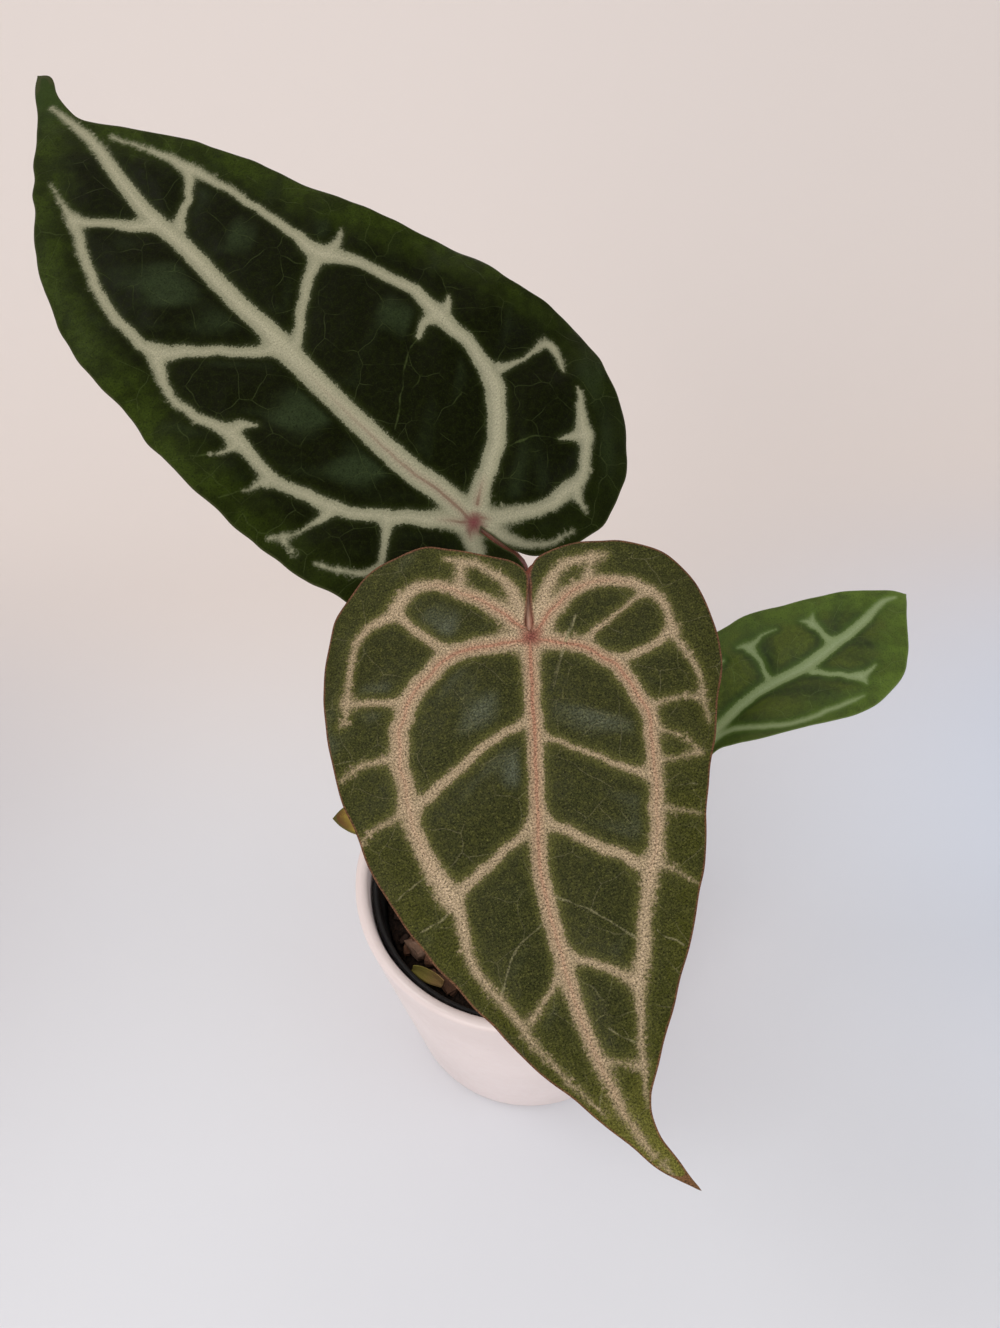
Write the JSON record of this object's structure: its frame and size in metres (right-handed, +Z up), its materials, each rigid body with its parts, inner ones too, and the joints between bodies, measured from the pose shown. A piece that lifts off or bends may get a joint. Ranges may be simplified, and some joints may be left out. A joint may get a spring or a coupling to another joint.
{
  "type": "potted anthurium",
  "caption": "Young anthurium with heart-shaped, pale-veined velvety leaves on slender stalks, standing in bark soil in a plain tapered white pot.",
  "frame": {"origin": "middle of the cover pot's flat underside", "axes": "+Z up along the pot's axis, -Y towards the front, where the lowest-hanging large leaf points"},
  "size_m": [0.1675, 0.167, 0.2524],
  "materials": {
    "white_ceramic": "satin off-white glaze",
    "black_plastic": "thin black plastic",
    "bark_soil": "coarse bark and soil, dull",
    "stem_green": "smooth green stem",
    "stalk_red": "smooth, a little glossy, red-brown to green",
    "leaf_bronze_green": "velvety bronze green with broad pale pinkish veins",
    "leaf_dark_green": "velvety dark green with pale sage veins",
    "leaf_fresh_green": "fresh green with pale sage veins",
    "dry_sheath": "papery, tan to yellow-green"
  },
  "bodies": {
    "root": {"cover_pot": "white_ceramic", "nursery_pot": "black_plastic", "soil": "bark_soil", "stem": "stem_green", "stalk_1": "stalk_red", "stalk_2": "stalk_red", "stalk_3": "stalk_red", "stalk_4": "stalk_red", "leaf_1": "leaf_bronze_green", "leaf_2": "leaf_dark_green", "leaf_3": "leaf_fresh_green", "leaf_4": "leaf_fresh_green", "sheath_1": "dry_sheath", "sheath_2": "dry_sheath", "shed_sheath": "dry_sheath"}
  },
  "joints": []
}
